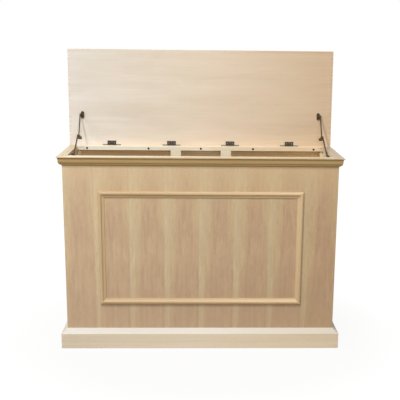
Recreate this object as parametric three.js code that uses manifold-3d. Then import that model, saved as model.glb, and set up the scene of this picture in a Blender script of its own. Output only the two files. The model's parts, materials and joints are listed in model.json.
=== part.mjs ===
// A freestanding wooden cabinet with a hinged lid over a lift that raises a flat screen.
// Millimetres and degrees. X runs to the right, Y to the back and Z up.
// The lid stands open on its stays and the lift waits below the rim.
import * as THREE from "three";
import { mergeVertices } from "three/addons/utils/BufferGeometryUtils.js";
import Module from "manifold-3d";

const wasm = await Module();
wasm.setup();

// Driving sizes of the case
const bodyWidth = 1224;
const cabinetDepth = 451;
const rimHeight = 880;
const boardThickness = 18;
const seam = 0.3; // gap between two pieces that touch
const overrun = 5; // how far a cut reaches past the face that it opens

// Crown round the rim
const crownOverhang = 23;
const crownHeight = 38;
const crownNose = 1.5; // height of the straight front edge
const crownCove = 6;
const crownStep = 1; // ledge between the cove and the band
const crownBandHeight = 7;
const crownFoot = 2;
const crownFootHeight = 3;

// Plinth round the foot
const plinthProjection = 26;
const plinthFace = 71;
const plinthSlope = 21; // height of the sloping ledge above the face

// Frame of moulding applied to the front
const frameSideMargin = 153.5; // from the edge of the case
const frameFloorMargin = 208;
const frameRimMargin = 150.5;
const frameRound = 7; // width of the rounded outer edge
const frameCrest = 6;
const frameCove = 14;
const frameEdge = 5; // thickness along both edges
const frameSwell = 8; // rise of the crest above the edges

// Boards, rails and posts inside
const floorTop = 70;
const backThickness = 12;
const backRailHeight = 86;
const hingeRailWidth = 34;
const frontRailWidth = 26;
const postWidth = 50;
const postSpacing = 242; // centre to centre
const cornerPostWidth = 15;
const cornerPostSetback = 8; // behind the front of the hinge rail
const cableSlotWidth = 80;
const cableSlotHeight = 50;
const cableSlotRise = 30; // above the floor board

// Screws through the hinge rail
const screwPlaceShares = [-0.46, -0.212, 0, 0.212, 0.46]; // of the inside width
const screwHeadRadius = 4;
const screwHeadHeight = 2;
const screwShankRadius = 1.8;
const screwBite = 8; // how deep a screw goes into the back rail

// Lid and its hinges
const lidThickness = 18;
const lidOverhang = 2; // past the crown at the front
const lidOpenAngle = 93;
const hingePlaceShares = [-0.3632, -0.12, 0.12, 0.3632]; // of the inside width
const barrelRadius = 4;
const pinRadius = 2;
const railLeafWidth = 87;
const railLeafReach = 26; // down the back of the top rail
const lidLeafWidth = 42;
const lidLeafReach = 21; // under the lid
const leafThickness = 2.4;

// Folding stays beside the side panels
const lidPivotReach = 144; // from the lid's back edge, along the lid
const lidPivotGap = 1.5; // between an arm's eye and the lid
const elbowForward = 72; // of the back
const elbowRise = 52; // above the rim
const sidePivotForward = 233; // of the back
const sidePivotDrop = 22; // below the rim
const stayThickness = 4.5;
const armHalfWidth = 4.5;
const eyeRadius = 6.5;
const rivetRadius = 2.2;
const rivetHeadRadius = 4.2;
const knobHeight = 5; // of the rivet's head at the elbow
const flatHeadHeight = 0.4; // of a rivet between two plates
const noseReach = 11; // of the upper arm, past the elbow
const noseRadius = 6.5;
const stopLength = 12; // of the nose's stop, towards the middle
const lidBracketLength = 34;
const lidBracketWidth = 15;
const sideBracketLength = 44;
const sideBracketRadius = 10;

// Lift column on the floor board
const columnTopDrop = 86; // below the rim
const columnWidth = 120;
const columnDepth = 62;
const columnWall = 4;
const footThickness = 4;
const footFlange = 30; // past the column at the front and sides
const wallBracketThickness = 4.4;
const wallBracketHeight = 60;
const wallBracketDrop = 30; // below the top of the column

// Three sections that run in each other
const liftTopDrop = 50; // top of the waiting lift, below the rim
const readyTravel = 410; // how far the first section sinks as the lid shuts
const sunkenGap = 13; // between a sunken section and the foot
const sectionWall = 3;
const sectionPlay = 0.5;

// Neck, crossbar and arms that carry the screen
const neckThickness = 8;
const neckWidth = 58;
const neckDrop = 110; // height of its front plate
const neckSideGap = 3; // to the sides of the column's slot
const neckFrontGap = 4; // between its front plate and the column
const crossbarLength = 460;
const crossbarHeight = 60;
const crossbarThickness = 8;
const boltSlotLength = 90;
const boltSlotHeight = 10;
const boltSlotInset = 92; // from the end of the bar to the middle of the slot
const armLength = 300;
const armWidth = 22;
const armDepth = 12;
const armInset = 50; // from the end of the bar to the middle of the arm
const armHoleCount = 5;
const armHoleRadius = 2.7;

// Motor with its gearbox, and the control box
const gearboxWidth = 66;
const gearboxDepth = 56;
const gearboxHeight = 60;
const motorRadius = 24;
const motorLength = 120; // above the gearbox
const controlWidth = 160;
const controlDepth = 44;
const controlHeight = 100;
const controlOffset = 104; // from the right post
const controlRise = 230; // above the floor board
const inletWidth = 27;
const inletHeight = 20;
const inletDepth = 15;

// Steps round curves
const curveSteps = 5;
const rodSides = 16;
const eyeSteps = 8;

// Places worked out from the sizes above
const frontInner = crownOverhang + boardThickness;
const halfBody = bodyWidth / 2;
const sideInner = halfBody - boardThickness;
const insideWidth = 2 * sideInner;
const backInner = cabinetDepth - backThickness;
const hingeRailFront = backInner - seam - hingeRailWidth;
const innerSpan = [seam - sideInner, sideInner - seam];
const floorSpan = [floorTop - boardThickness, floorTop];
const railSpan = [rimHeight - boardThickness, rimHeight];
const lidUnderside = rimHeight + seam;
const hingeY = cabinetDepth + seam;
const hingeZ = rimHeight + seam / 2;
const hingeXs = hingePlaceShares.map((share) => share * insideWidth);
const screwXs = screwPlaceShares.map((share) => share * insideWidth);
const radians = THREE.MathUtils.degToRad;

const finishes = {
  veneer: { color: 0xc9aa83, roughness: 0.62, metalness: 0 },
  moulding: { color: 0xd9c39c, roughness: 0.6, metalness: 0 },
  paleWood: { color: 0xe2cfb4, roughness: 0.58, metalness: 0 },
  innerWood: { color: 0xcdb488, roughness: 0.66, metalness: 0 },
  backBoard: { color: 0xa9825a, roughness: 0.7, metalness: 0 },
  hingeSteel: { color: 0x4a4742, roughness: 0.42, metalness: 0.8 },
  bronze: { color: 0x5c4a33, roughness: 0.4, metalness: 0.85 },
  darkSteel: { color: 0x3a3530, roughness: 0.5, metalness: 0.8 },
  blackPaint: { color: 0x2c2d2f, roughness: 0.5, metalness: 0.3 },
  bareTube: { color: 0x8d9094, roughness: 0.35, metalness: 0.8 },
  blackPlastic: { color: 0x26272a, roughness: 0.55, metalness: 0 },
};

const cabinet = new THREE.Group();
const lid = new THREE.Group();

function add(group, name, finish, geometry) {
  const mesh = new THREE.Mesh(geometry, new THREE.MeshStandardMaterial(finishes[finish]));
  mesh.name = name;
  group.add(mesh);
}

function onBothSides(name, build) {
  build(name + "_left", -1);
  build(name + "_right", 1);
}

// Limits along X of what lies between two distances from the middle, on one side
function sideSpan(sign, near, far) {
  return sign > 0 ? [near, far] : [-far, -near];
}

function around(middle, size) {
  return [middle - size / 2, middle + size / 2];
}

// Solids made from geometries, and geometries from solids
function solidOf(geometry) {
  const bare = geometry.clone();
  bare.deleteAttribute("normal");
  bare.deleteAttribute("uv");
  const merged = mergeVertices(bare);
  const vertProperties = merged.getAttribute("position").array;
  const triVerts = new Uint32Array(merged.index.array);
  return new wasm.Manifold(new wasm.Mesh({ numProp: 3, vertProperties, triVerts }));
}

function geometryOf(solid) {
  const { vertProperties, triVerts } = solid.getMesh();
  const shared = new THREE.BufferGeometry();
  shared.setAttribute("position", new THREE.BufferAttribute(vertProperties, 3));
  shared.setIndex(new THREE.BufferAttribute(triVerts, 1));
  const flat = shared.toNonIndexed();
  flat.computeVertexNormals();
  return flat;
}

function cut(body, tools) {
  return geometryOf(tools.map(solidOf).reduce((left, tool) => left.subtract(tool), solidOf(body)));
}

function join(pieces) {
  return geometryOf(pieces.map(solidOf).reduce((left, right) => left.add(right)));
}

// Basic shapes, given by their limits along each axis
function box([left, right], [front, back], [bottom, top]) {
  const geometry = new THREE.BoxGeometry(right - left, back - front, top - bottom);
  return geometry.translate((left + right) / 2, (front + back) / 2, (bottom + top) / 2);
}

function rodAlongX([left, right], y, z, radius) {
  const geometry = new THREE.CylinderGeometry(radius, radius, right - left, rodSides);
  return geometry.rotateZ(Math.PI / 2).translate((left + right) / 2, y, z);
}

function rodAlongY(x, [front, back], z, radius) {
  const geometry = new THREE.CylinderGeometry(radius, radius, back - front, rodSides);
  return geometry.translate(x, (front + back) / 2, z);
}

function rodAlongZ(x, y, [bottom, top], radius) {
  const geometry = new THREE.CylinderGeometry(radius, radius, top - bottom, rodSides);
  return geometry.rotateX(Math.PI / 2).translate(x, y, (bottom + top) / 2);
}

function outline(points) {
  return new THREE.Shape(points.map(([a, b]) => new THREE.Vector2(a, b)));
}

function rectangle(halfWidth, halfHeight) {
  const [x, y] = [halfWidth, halfHeight];
  return outline([[-x, -y], [x, -y], [x, y], [-x, y]]);
}

function plate(shape, length) {
  const settings = { depth: length, bevelEnabled: false, curveSegments: eyeSteps };
  return new THREE.ExtrudeGeometry(shape, settings);
}

// A plate drawn in Y and Z, with its thickness along X
function plateAcross(shape, [left, right]) {
  const toY = new THREE.Vector3(0, 1, 0);
  const toZ = new THREE.Vector3(0, 0, 1);
  const toX = new THREE.Vector3(1, 0, 0);
  const turn = new THREE.Matrix4().makeBasis(toY, toZ, toX);
  return plate(shape, right - left).applyMatrix4(turn).translate(left, 0, 0);
}

function arcPoints([centreA, centreB], [radiusA, radiusB], startAngle, endAngle) {
  return Array.from({ length: curveSteps + 1 }, (unused, i) => {
    const angle = radians(startAngle + ((endAngle - startAngle) * i) / curveSteps);
    return [centreA + radiusA * Math.cos(angle), centreB + radiusB * Math.sin(angle)];
  });
}

// A length of moulding. Its profile is drawn outwards and up, it runs from the origin along
// outwards x up, and a mitred end is as much longer as the profile stands out.
const mitreGap = seam * Math.SQRT1_2;

function moulding(profile, length, mitredStart, mitredEnd, outwards, up, origin) {
  const geometry = plate(outline(profile), length);
  const position = geometry.getAttribute("position");
  for (let i = 0; i < position.count; i++) {
    const out = position.getX(i);
    const atEnd = position.getZ(i) > length / 2;
    if (atEnd && mitredEnd) position.setZ(i, length + out - mitreGap);
    if (!atEnd && mitredStart) position.setZ(i, mitreGap - out);
  }
  const along = new THREE.Vector3().crossVectors(outwards, up);
  const turn = new THREE.Matrix4().makeBasis(outwards, up, along).setPosition(origin);
  return geometry.applyMatrix4(turn);
}

// Case: front, sides, floor and the rail behind the front's top edge
function caseBoards() {
  const front = box([-halfBody, halfBody], [crownOverhang, frontInner], [0, rimHeight]);
  add(cabinet, "front_panel", "veneer", front);
  onBothSides("side_panel", (name, sign) => {
    const across = sideSpan(sign, sideInner, halfBody);
    add(cabinet, name, "veneer", box(across, [frontInner + seam, cabinetDepth], [0, rimHeight]));
  });
  const floor = box(innerSpan, [frontInner + seam, backInner - seam], floorSpan);
  add(cabinet, "floor_panel", "innerWood", floor);
  const railFront = frontInner + seam;
  const rail = box(innerSpan, [railFront, railFront + frontRailWidth], railSpan);
  add(cabinet, "front_rail", "innerWood", rail);
}

// Back: two boards and, between them, a hatch behind the lift with a slot for cables
function backBoards() {
  const depth = [backInner, cabinetDepth];
  const height = [0, rimHeight - backRailHeight - seam];
  const hatchHalf = postSpacing / 2;
  onBothSides("back_board", (name, sign) => {
    const across = sideSpan(sign, hatchHalf + seam / 2, sideInner - seam);
    add(cabinet, name, "backBoard", box(across, depth, height));
  });
  const hatch = box([seam / 2 - hatchHalf, hatchHalf - seam / 2], depth, height);
  const slotDepth = [backInner - overrun, cabinetDepth + overrun];
  const slotBottom = floorTop + cableSlotRise;
  const slot = box(around(0, cableSlotWidth), slotDepth, [slotBottom, slotBottom + cableSlotHeight]);
  add(cabinet, "back_hatch", "backBoard", cut(hatch, [slot]));
}

// Posts behind the joints of the back, and one in each back corner
function posts() {
  const height = [floorTop + seam, rimHeight - boardThickness - seam];
  const depth = [hingeRailFront, backInner - seam];
  onBothSides("post", (name, sign) => {
    const across = around((sign * postSpacing) / 2, postWidth);
    add(cabinet, name, "paleWood", box(across, depth, height));
  });
  const cornerDepth = [hingeRailFront + cornerPostSetback, backInner - seam];
  onBothSides("corner_post", (name, sign) => {
    const outer = sideInner - seam;
    const across = sideSpan(sign, outer - cornerPostWidth, outer);
    add(cabinet, name, "paleWood", box(across, cornerDepth, height));
  });
}

// Top rail of the back, which the wide hinge leaves are let into, and the rail screwed to its face
const screwZ = rimHeight - boardThickness / 2;
const shankEnd = backInner + screwBite;

function hingeRails() {
  const pilotDepth = [hingeRailFront - overrun, shankEnd + seam];
  const pilots = screwXs.map((x) => rodAlongY(x, pilotDepth, screwZ, screwShankRadius + seam));
  const leafDepth = [cabinetDepth - leafThickness - seam, cabinetDepth + overrun];
  const leafHeight = [rimHeight - railLeafReach - seam, rimHeight + overrun];
  const notchHeight = [hingeZ - barrelRadius - seam, rimHeight + overrun];
  const recesses = hingeXs.map((x) => box(around(x, railLeafWidth + 2 * seam), leafDepth, leafHeight));
  const notches = hingeXs.map((x) => barrelNotch(x, notchHeight));
  const backRail = box(innerSpan, [backInner, cabinetDepth], [rimHeight - backRailHeight, rimHeight]);
  add(cabinet, "back_top_rail", "innerWood", cut(backRail, [...recesses, ...notches, ...pilots]));
  const hingeRail = box(innerSpan, [hingeRailFront, backInner - seam], railSpan);
  add(cabinet, "hinge_rail", "paleWood", cut(hingeRail, pilots));
}

function railScrews() {
  const headBack = hingeRailFront - seam;
  const headMiddle = headBack - screwHeadHeight / 2;
  screwXs.forEach((x, i) => {
    const head = rodAlongY(x, [headBack - screwHeadHeight, headBack], screwZ, screwHeadRadius);
    const shank = rodAlongY(x, [headMiddle, shankEnd], screwZ, screwShankRadius);
    add(cabinet, "rail_screw_" + (i + 1), "darkSteel", join([head, shank]));
  });
}

// Crown: a straight nose over a cove, then a band that curves in to the case
function crownProfile() {
  const coveFloor = rimHeight - crownNose - crownCove;
  const bandFront = crownOverhang - crownCove - crownStep;
  const bandFoot = coveFloor - crownBandHeight;
  const underside = rimHeight - crownHeight;
  const curveDrop = bandFoot - underside - crownFootHeight;
  return [
    [seam, rimHeight],
    [crownOverhang, rimHeight],
    ...arcPoints([crownOverhang, coveFloor], [crownCove, crownCove], 90, 180),
    [bandFront, coveFloor],
    ...arcPoints([crownFoot, bandFoot], [bandFront - crownFoot, curveDrop], 0, -90),
    [crownFoot, underside],
    [seam, underside],
  ];
}

// Plinth: an upright face under a broad slope
function plinthProfile() {
  const top = plinthFace + plinthSlope;
  return [[seam, 0], [plinthProjection, 0], [plinthProjection, plinthFace], [seam, top]];
}

// Runs a moulding round the front and both sides of the case
function caseMoulding(name, profile) {
  const up = new THREE.Vector3(0, 0, 1);
  const sideLength = cabinetDepth - crownOverhang;
  const forwards = new THREE.Vector3(0, -1, 0);
  const leftwards = new THREE.Vector3(-1, 0, 0);
  const rightwards = new THREE.Vector3(1, 0, 0);
  const rightFront = new THREE.Vector3(halfBody, crownOverhang, 0);
  const leftFront = new THREE.Vector3(-halfBody, crownOverhang, 0);
  const rightBack = new THREE.Vector3(halfBody, cabinetDepth, 0);
  const front = moulding(profile, bodyWidth, true, true, forwards, up, rightFront);
  const left = moulding(profile, sideLength, true, false, leftwards, up, leftFront);
  const right = moulding(profile, sideLength, false, true, rightwards, up, rightBack);
  add(cabinet, name + "_front", "moulding", front);
  add(cabinet, name + "_left", "moulding", left);
  add(cabinet, name + "_right", "moulding", right);
}

// Applied frame: a rounded outer edge, a flat crest and a cove down to the inner edge
function frameProfile() {
  const crestHeight = frameEdge + frameSwell;
  const crestOuter = frameCove + frameCrest;
  const width = crestOuter + frameRound;
  return [
    [0, seam],
    [width, seam],
    ...arcPoints([crestOuter, frameEdge], [frameRound, frameSwell], 0, 90),
    ...arcPoints([0, crestHeight], [frameCove, frameSwell], 0, -90),
  ];
}

function appliedFrame() {
  const profile = frameProfile();
  const width = frameCove + frameCrest + frameRound;
  const half = halfBody - frameSideMargin - width;
  const bottom = frameFloorMargin + width;
  const top = rimHeight - frameRimMargin - width;
  const forwards = new THREE.Vector3(0, -1, 0);
  const sides = [
    ["top", 2 * half, new THREE.Vector3(0, 0, 1), -half, top],
    ["bottom", 2 * half, new THREE.Vector3(0, 0, -1), half, bottom],
    ["left", top - bottom, new THREE.Vector3(-1, 0, 0), -half, bottom],
    ["right", top - bottom, new THREE.Vector3(1, 0, 0), half, top],
  ];
  for (const [side, length, outwards, x, z] of sides) {
    const start = new THREE.Vector3(x, crownOverhang, z);
    const piece = moulding(profile, length, true, true, outwards, forwards, start);
    add(cabinet, "frame_" + side, "moulding", piece);
  }
}

// Hinges: the wide leaf lies in the rail's back, the narrow one in the lid, and a pin joins them
function barrelNotch(x, height) {
  const depth = [hingeY - barrelRadius - seam, cabinetDepth + overrun];
  return box(around(x, railLeafWidth + 2 * seam), depth, height);
}

function hingeBore(x) {
  return rodAlongX(around(x, railLeafWidth + 2 * overrun), hingeY, hingeZ, pinRadius + seam);
}

function railLeaf(x) {
  const depth = [cabinetDepth - leafThickness, cabinetDepth];
  const shoulder = hingeZ - barrelRadius - seam;
  const leaf = box(around(x, railLeafWidth), depth, [rimHeight - railLeafReach, shoulder]);
  const knuckles = [-1, 1].flatMap((sign) => {
    const [left, right] = sideSpan(sign, lidLeafWidth / 2 + seam, railLeafWidth / 2);
    const span = [x + left, x + right];
    const bridge = box(span, depth, [shoulder - seam, hingeZ]);
    return [bridge, rodAlongX(span, hingeY, hingeZ, barrelRadius)];
  });
  return cut(join([leaf, ...knuckles]), [hingeBore(x)]);
}

function lidLeaf(x) {
  const span = around(x, lidLeafWidth);
  const height = [lidUnderside, lidUnderside + leafThickness];
  const leaf = box(span, [cabinetDepth - lidLeafReach, hingeY], height);
  return cut(join([leaf, rodAlongX(span, hingeY, hingeZ, barrelRadius)]), [hingeBore(x)]);
}

function hinges() {
  hingeXs.forEach((x, i) => {
    const number = i + 1;
    add(cabinet, "hinge_rail_leaf_" + number, "hingeSteel", railLeaf(x));
    add(lid, "hinge_lid_leaf_" + number, "hingeSteel", lidLeaf(x));
    const pin = rodAlongX(around(x, railLeafWidth), hingeY, hingeZ, pinRadius);
    add(cabinet, "hinge_pin_" + number, "darkSteel", pin);
  });
}

// Lid, drawn shut and turned open at the end
function lidBoard() {
  const half = halfBody + crownOverhang;
  const thickness = [lidUnderside, lidUnderside + lidThickness];
  const board = box([-half, half], [-lidOverhang, cabinetDepth], thickness);
  const leafDepth = [cabinetDepth - lidLeafReach - seam, cabinetDepth + overrun];
  const leafHeight = [lidUnderside - overrun, lidUnderside + leafThickness + seam];
  const notchHeight = [lidUnderside - overrun, hingeZ + barrelRadius + seam];
  const recesses = hingeXs.map((x) => box(around(x, lidLeafWidth + 2 * seam), leafDepth, leafHeight));
  const notches = hingeXs.map((x) => barrelNotch(x, notchHeight));
  add(lid, "lid_panel", "paleWood", cut(board, [...recesses, ...notches]));
}

// Stays: side bracket, lower arm, upper arm and lid bracket lie in planes from the side inwards
const plateStep = stayThickness + flatHeadHeight + 2 * seam;
const bracketOuter = sideInner - seam;
const lowerOuter = bracketOuter - plateStep;
const upperOuter = lowerOuter - plateStep;
const earOuter = upperOuter - plateStep;
const elbow = [cabinetDepth - elbowForward, rimHeight + elbowRise];
const sidePivot = [cabinetDepth - sidePivotForward, rimHeight - sidePivotDrop];
const lidPivotShut = [cabinetDepth - lidPivotReach, lidUnderside - eyeRadius - lidPivotGap];
const lidPivotOpen = turnedOpen(lidPivotShut);

function turnedOpen([y, z]) {
  const [dy, dz] = [y - hingeY, z - hingeZ];
  const cos = Math.cos(radians(lidOpenAngle));
  const sin = Math.sin(radians(lidOpenAngle));
  return [hingeY + dy * cos + dz * sin, hingeZ - dy * sin + dz * cos];
}

// The plane of a stay plate, from its outer face inwards
function plateSpan(sign, outer) {
  return sideSpan(sign, outer - stayThickness, outer);
}

// A flat bar between two places, with a round end of the given radius at each
function flatBar(from, to, halfWidth, radius) {
  const direction = Math.atan2(to[1] - from[1], to[0] - from[0]);
  const reach = Math.asin(halfWidth / radius);
  const shape = new THREE.Shape();
  shape.absarc(to[0], to[1], radius, direction - Math.PI + reach, direction + Math.PI - reach, false);
  shape.absarc(from[0], from[1], radius, direction + reach, direction + 2 * Math.PI - reach, false);
  return shape;
}

// The place that lies past the second of two places, in line with them
function beyond(from, to, reach) {
  const length = Math.hypot(to[0] - from[0], to[1] - from[1]);
  return to.map((value, i) => value + ((value - from[i]) * reach) / length);
}

function rivetHole([y, z], sign, outer) {
  const across = sideSpan(sign, outer - stayThickness - overrun, outer + overrun);
  return rodAlongX(across, y, z, rivetRadius + seam);
}

// A rivet through a moving plate: its shank starts in the carrying plate and its flat head lies
// behind the moving one.
function rivet([y, z], sign, shankNear, shankFar, headNear) {
  const shank = rodAlongX(sideSpan(sign, shankNear, shankFar), y, z, rivetRadius);
  const head = rodAlongX(sideSpan(sign, headNear, headNear + flatHeadHeight), y, z, rivetHeadRadius);
  return [shank, head];
}

// The upper arm carries the elbow's rivet, and past it a nose with a stop
function upperArm(name, sign) {
  const span = plateSpan(sign, upperOuter);
  const bar = plateAcross(flatBar(lidPivotOpen, elbow, armHalfWidth, eyeRadius), span);
  const arm = cut(bar, [rivetHole(lidPivotOpen, sign, upperOuter)]);
  const nose = beyond(lidPivotOpen, elbow, noseReach);
  const tongue = plateAcross(flatBar(elbow, nose, armHalfWidth, noseRadius), span);
  const inner = upperOuter - stayThickness;
  const knob = rodAlongX(sideSpan(sign, inner - knobHeight, inner), ...elbow, rivetHeadRadius);
  const stop = rodAlongX(sideSpan(sign, inner - stopLength, inner), ...nose, noseRadius);
  add(cabinet, name, "bronze", join([arm, tongue, knob, stop]));
}

function lowerArm(name, sign) {
  const shape = flatBar(elbow, sidePivot, armHalfWidth, eyeRadius);
  const holes = [elbow, sidePivot].map((place) => rivetHole(place, sign, lowerOuter));
  add(cabinet, name, "bronze", cut(plateAcross(shape, plateSpan(sign, lowerOuter)), holes));
}

function sideBracket(name, sign) {
  const [y, z] = sidePivot;
  const half = sideBracketLength / 2 - sideBracketRadius;
  const shape = flatBar([y - half, z], [y + half, z], sideBracketRadius, sideBracketRadius);
  const headNear = lowerOuter - stayThickness - seam - flatHeadHeight;
  const pin = rivet(sidePivot, sign, headNear, bracketOuter, headNear);
  add(cabinet, name, "bronze", join([plateAcross(shape, plateSpan(sign, bracketOuter)), ...pin]));
}

function lidBracket(name, sign) {
  const [y, z] = lidPivotShut;
  const top = lidUnderside - seam;
  const radius = lidBracketWidth / 2;
  const x = sign * (earOuter - radius);
  const [front, back] = around(y, lidBracketLength - lidBracketWidth);
  const shape = flatBar([x, front], [x, back], radius, radius);
  const base = plate(shape, stayThickness).translate(0, 0, top - stayThickness);
  const tab = outline([[y + eyeRadius, top], [y - eyeRadius, top], [y - eyeRadius, z]]);
  tab.absarc(y, z, eyeRadius, Math.PI, 2 * Math.PI, false);
  const headNear = upperOuter + seam;
  const pin = rivet(lidPivotShut, sign, earOuter - stayThickness, headNear + flatHeadHeight, headNear);
  add(lid, name, "bronze", join([base, plateAcross(tab, plateSpan(sign, earOuter)), ...pin]));
}

// Lift column: a channel, open at the front for the neck, on a foot and held by a wall bracket
const columnBack = hingeRailFront - seam - wallBracketThickness - seam;
const columnFront = columnBack - columnDepth;
const columnMiddle = (columnFront + columnBack) / 2;
const columnTop = rimHeight - columnTopDrop;
const footSpan = [floorTop + seam, floorTop + seam + footThickness];

function liftColumn() {
  const half = columnWidth / 2;
  const inner = half - columnWall;
  const slot = neckWidth / 2 + neckSideGap;
  const frontInside = columnFront + columnWall;
  const backInside = columnBack - columnWall;
  const channel = outline([
    [-half, columnFront], [-slot, columnFront], [-slot, frontInside],
    [-inner, frontInside], [-inner, backInside], [inner, backInside],
    [inner, frontInside], [slot, frontInside], [slot, columnFront],
    [half, columnFront], [half, columnBack], [-half, columnBack],
  ]);
  const tube = plate(channel, columnTop - footSpan[0]).translate(0, 0, footSpan[0]);
  const footWidth = columnWidth + 2 * footFlange;
  const foot = box(around(0, footWidth), [columnFront - footFlange, columnBack], footSpan);
  add(cabinet, "lift_column", "blackPaint", join([foot, tube]));
  const bracketTop = columnTop - wallBracketDrop;
  const bracketHeight = [bracketTop - wallBracketHeight, bracketTop];
  const bracketDepth = [columnBack + seam, hingeRailFront - seam];
  const bracket = box(around(0, postSpacing + postWidth), bracketDepth, bracketHeight);
  add(cabinet, "lift_wall_bracket", "blackPaint", bracket);
}

// Sections of the lift, counted from the column inwards
const liftTop = rimHeight - liftTopDrop;
const sectionTop = liftTop - neckThickness - sectionPlay;
const sectionBottom = footSpan[1] + sunkenGap + readyTravel;

function sectionInset(order) {
  return columnWall + sectionPlay + order * (sectionWall + sectionPlay);
}

function sectionTube(order, top) {
  const inset = sectionInset(order);
  const half = columnWidth / 2 - inset;
  const inner = half - sectionWall;
  const halfDepth = columnDepth / 2 - inset;
  const innerDepth = halfDepth - sectionWall;
  const section = rectangle(half, halfDepth);
  section.holes.push(rectangle(inner, innerDepth));
  return plate(section, top - sectionBottom).translate(0, columnMiddle, sectionBottom);
}

// The innermost section carries a neck that reaches through the slot to a plate at the front
const neckBack = columnFront - neckFrontGap;
const neckFront = neckBack - neckThickness;

function liftHead() {
  const across = around(0, neckWidth);
  const neckBottom = liftTop - neckThickness;
  const neck = box(across, [neckFront, columnBack - sectionInset(2)], [neckBottom, liftTop]);
  const face = box(across, [neckFront, neckBack], [liftTop - neckDrop, liftTop]);
  const riser = sectionTube(2, liftTop - neckThickness / 2);
  add(cabinet, "lift_head", "bareTube", join([riser, neck, face]));
}

function screenMount() {
  const barBack = neckFront - seam;
  const barFront = barBack - crossbarThickness;
  const barMiddle = liftTop - neckDrop / 2;
  const bar = box(around(0, crossbarLength), [barFront, barBack], around(barMiddle, crossbarHeight));
  const slotDepth = [barFront - overrun, barBack + overrun];
  const slotX = crossbarLength / 2 - boltSlotInset;
  const slots = [-slotX, slotX].map((x) =>
    box(around(x, boltSlotLength), slotDepth, around(barMiddle, boltSlotHeight)));
  add(cabinet, "screen_crossbar", "blackPaint", cut(bar, slots));
  const armBack = barFront - seam;
  const armFront = armBack - armDepth;
  const armX = crossbarLength / 2 - armInset;
  onBothSides("screen_arm", (name, sign) => {
    const x = sign * armX;
    const arm = box(around(x, armWidth), [armFront, armBack], [liftTop - armLength, liftTop]);
    const holes = Array.from({ length: armHoleCount }, (unused, i) => {
      const z = liftTop - (armLength * (i + 1)) / (armHoleCount + 1);
      return rodAlongY(x, [armFront - overrun, armBack + overrun], z, armHoleRadius);
    });
    add(cabinet, name, "blackPaint", cut(arm, holes));
  });
}

// Motor and gearbox on the foot beside the column
function liftDrive() {
  const left = columnWidth / 2 + seam;
  const base = footSpan[1] + seam;
  const gearboxTop = base + gearboxHeight;
  const gearboxAcross = [left, left + gearboxWidth];
  const gearbox = box(gearboxAcross, around(columnMiddle, gearboxDepth), [base, gearboxTop]);
  const motorSpan = [base + gearboxHeight / 2, gearboxTop + motorLength];
  const motor = rodAlongZ(left + gearboxWidth / 2, columnMiddle, motorSpan, motorRadius);
  add(cabinet, "lift_drive", "blackPlastic", join([gearbox, motor]));
}

// Control box on the right back board, with the mains inlet in its underside
function controlBox() {
  const left = (postSpacing + postWidth) / 2 + controlOffset;
  const back = backInner - seam;
  const bottom = floorTop + controlRise;
  const height = [bottom, bottom + controlHeight];
  const shell = box([left, left + controlWidth], [back - controlDepth, back], height);
  const inletX = around(left + controlWidth / 2, inletWidth);
  const inletY = around(back - controlDepth / 2, inletHeight);
  const inlet = box(inletX, inletY, [bottom - overrun, bottom + inletDepth]);
  add(cabinet, "control_box", "blackPlastic", cut(shell, [inlet]));
}

caseBoards();
backBoards();
posts();
hingeRails();
railScrews();
caseMoulding("crown", crownProfile());
caseMoulding("plinth", plinthProfile());
appliedFrame();
hinges();
lidBoard();
onBothSides("stay_upper_arm", upperArm);
onBothSides("stay_lower_arm", lowerArm);
onBothSides("stay_side_bracket", sideBracket);
onBothSides("stay_lid_bracket", lidBracket);
liftColumn();
add(cabinet, "lift_carriage", "bareTube", sectionTube(0, sectionTop));
add(cabinet, "lift_mast", "bareTube", sectionTube(1, sectionTop));
liftHead();
screenMount();
liftDrive();
controlBox();

// The lid turns about its hinge pins
for (const mesh of lid.children) mesh.geometry.translate(0, -hingeY, -hingeZ);
lid.position.set(0, hingeY, hingeZ);
lid.rotation.x = -radians(lidOpenAngle);
cabinet.add(lid);

// The whole stands with the middle of its footprint over the origin
const frontmost = crownOverhang - plinthProjection;
const backmost = turnedOpen([-lidOverhang, lidUnderside + lidThickness])[0];
cabinet.position.y = -(frontmost + backmost) / 2;

const part = new THREE.Group();
part.add(cabinet);
export default part;
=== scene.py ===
# TV lift cabinet: arrises, screws, veneer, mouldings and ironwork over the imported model.
# Metres, +Z up, the cabinet's front faces -Y.
import json
import math
import bmesh
import bpy
from mathutils import Matrix, Vector

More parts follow.
